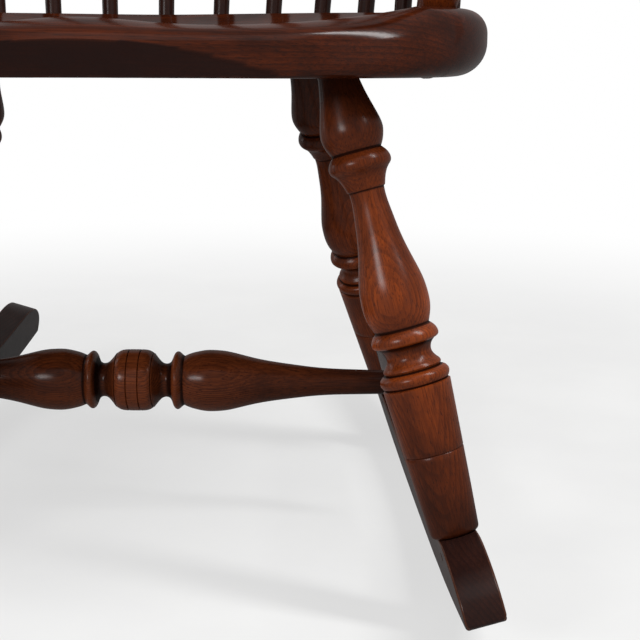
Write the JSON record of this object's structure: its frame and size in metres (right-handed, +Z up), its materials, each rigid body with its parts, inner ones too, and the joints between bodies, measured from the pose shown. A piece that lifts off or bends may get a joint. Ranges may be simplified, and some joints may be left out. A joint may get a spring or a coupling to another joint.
{
  "type": "rocking_chair",
  "caption": "Hoop back rocking chair in stained, lacquered wood: saddled plank seat, turned legs and stretcher, bent hoop with spindles, shaped arms, canted rockers",
  "frame": {"origin": "on the floor plane, on the mid-plane, halfway between the front and back ends of the rockers", "axes": "+Z up, +X towards the sitter's left, +Y towards the back of the chair; the chair stands at rest on the level bands of its rockers"},
  "size_m": [0.5922, 0.7138, 1.0295],
  "materials": {
    "seat_wood": "gloss",
    "turned_wood": "gloss",
    "rocker_wood": "gloss",
    "bent_wood": "gloss",
    "spindle_wood": "gloss",
    "arm_wood": "gloss",
    "wedge_wood": "satin"
  },
  "bodies": {
    "root": {"seat": "seat_wood", "front_leg_left": "turned_wood", "front_leg_right": "turned_wood", "rear_leg_left": "turned_wood", "rear_leg_right": "turned_wood", "side_stretcher_left": "turned_wood", "side_stretcher_right": "turned_wood", "cross_stretcher": "turned_wood", "rocker_left": "rocker_wood", "rocker_right": "rocker_wood", "hoop": "bent_wood", "back_spindle_1": "spindle_wood", "back_spindle_2": "spindle_wood", "back_spindle_3": "spindle_wood", "back_spindle_4": "spindle_wood", "back_spindle_5": "spindle_wood", "back_spindle_6": "spindle_wood", "back_spindle_7": "spindle_wood", "back_spindle_8": "spindle_wood", "back_spindle_9": "spindle_wood", "back_spindle_10": "spindle_wood", "back_spindle_11": "spindle_wood", "arm_left": "arm_wood", "arm_right": "arm_wood", "arm_post_left": "turned_wood", "arm_post_right": "turned_wood", "arm_spindle_left": "spindle_wood", "arm_spindle_right": "spindle_wood", "leg_wedges": "wedge_wood", "hoop_wedges": "wedge_wood", "post_wedges": "wedge_wood", "arm_pegs": "wedge_wood", "rocker_pegs": "wedge_wood"}
  },
  "joints": []
}
